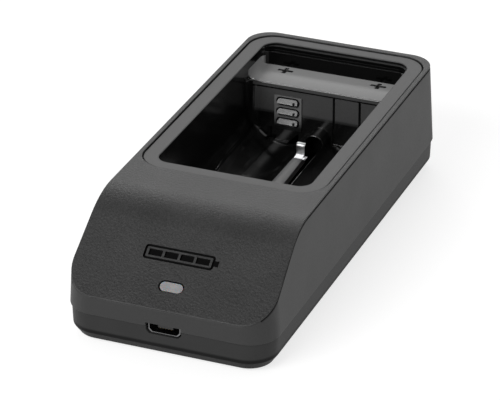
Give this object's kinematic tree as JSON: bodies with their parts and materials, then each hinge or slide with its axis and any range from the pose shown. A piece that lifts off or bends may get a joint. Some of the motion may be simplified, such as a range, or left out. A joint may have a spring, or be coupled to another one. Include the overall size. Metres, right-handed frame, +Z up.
{
  "type": "single-bay battery charger",
  "caption": "Desktop charger with an open bay for one battery pack, sprung contacts, a retainer arm, a charge light and a micro-USB inlet in its sloping front.",
  "frame": {"origin": "on the table plane under the middle of the case", "axes": "+Z up, +Y from the sloping front to the rear, +X to the right when looking at the rear"},
  "size_m": [0.0488, 0.1136, 0.0268],
  "materials": {
    "cover_plastic": "fine spark-eroded texture",
    "housing_plastic": "satin moulded",
    "base_plastic": "satin moulded",
    "tray_plastic": "polished inside, fine texture on the bezel and shelf",
    "contact_plate_plastic": "fine texture",
    "carrier_plastic": "moulded nylon",
    "contact_metal": "nickel plated",
    "arm_plastic": "fine texture",
    "clip_steel": "bright spring steel",
    "pin_steel": "ground",
    "spring_steel": "drawn wire",
    "light_lens": "frosted translucent",
    "board_laminate": "solder mask",
    "shell_metal": "plated",
    "tongue_plastic": "moulded",
    "gold_plate": "gold plated",
    "led_plastic": "moulded",
    "chip_plastic": "moulded",
    "ferrite": "sintered",
    "capacitor_ceramic": "fired",
    "resistor_body": "coated",
    "socket_plastic": "moulded nylon",
    "ribbon_film": "film",
    "screw_steel": "zinc plated",
    "foot_rubber": "moulded",
    "label_film": "matt film, blank"
  },
  "bodies": {
    "case": {"top_cover": "cover_plastic", "side_housing": "housing_plastic", "bottom_case": "base_plastic", "bay_tray": "tray_plastic", "contact_plate": "contact_plate_plastic", "contact_carrier": "carrier_plastic", "contact_board": "board_laminate", "ribbon_cable": "ribbon_film", "ribbon_sockets": "socket_plastic", "retainer_pin": "pin_steel", "retainer_spring": "spring_steel", "light_pipe": "light_lens", "main_board": "board_laminate", "usb_shell": "shell_metal", "usb_tongue": "tongue_plastic", "usb_contacts": "gold_plate", "status_led": "led_plastic", "charge_chip": "chip_plastic", "power_inductor": "ferrite", "capacitors": "capacitor_ceramic", "resistors": "resistor_body", "board_screws": "screw_steel", "case_screws": "screw_steel", "rubber_feet": "foot_rubber", "rating_label": "label_film"},
    "upper_contact": {"contact_upper": "contact_metal"},
    "middle_contact": {"contact_middle": "contact_metal"},
    "lower_contact": {"contact_lower": "contact_metal"},
    "retainer": {"retainer_arm": "arm_plastic", "retainer_clip": "clip_steel"}
  },
  "joints": [
    {"name": "upper_contact_press", "type": "slide", "parent": "case", "child": "upper_contact", "axis": [0, 1, 0], "range_m": [0, 0.0007], "stiffness_N_per_m": 1400, "springref_m": -0.0003},
    {"name": "middle_contact_press", "type": "slide", "parent": "case", "child": "middle_contact", "axis": [0, 1, 0], "range_m": [0, 0.0007], "stiffness_N_per_m": 1400, "springref_m": -0.0003},
    {"name": "lower_contact_press", "type": "slide", "parent": "case", "child": "lower_contact", "axis": [0, 1, 0], "range_m": [0, 0.0007], "stiffness_N_per_m": 1400, "springref_m": -0.0003},
    {"name": "retainer_press", "type": "hinge", "parent": "case", "child": "retainer", "pos_m": [0, -0.0145, 0.0065], "axis": [-1, 0, 0], "range_deg": [0, 1.8], "stiffness_Nm_per_rad": 2.5, "springref_deg": -0.57, "deforming": ["retainer_spring"]}
  ]
}
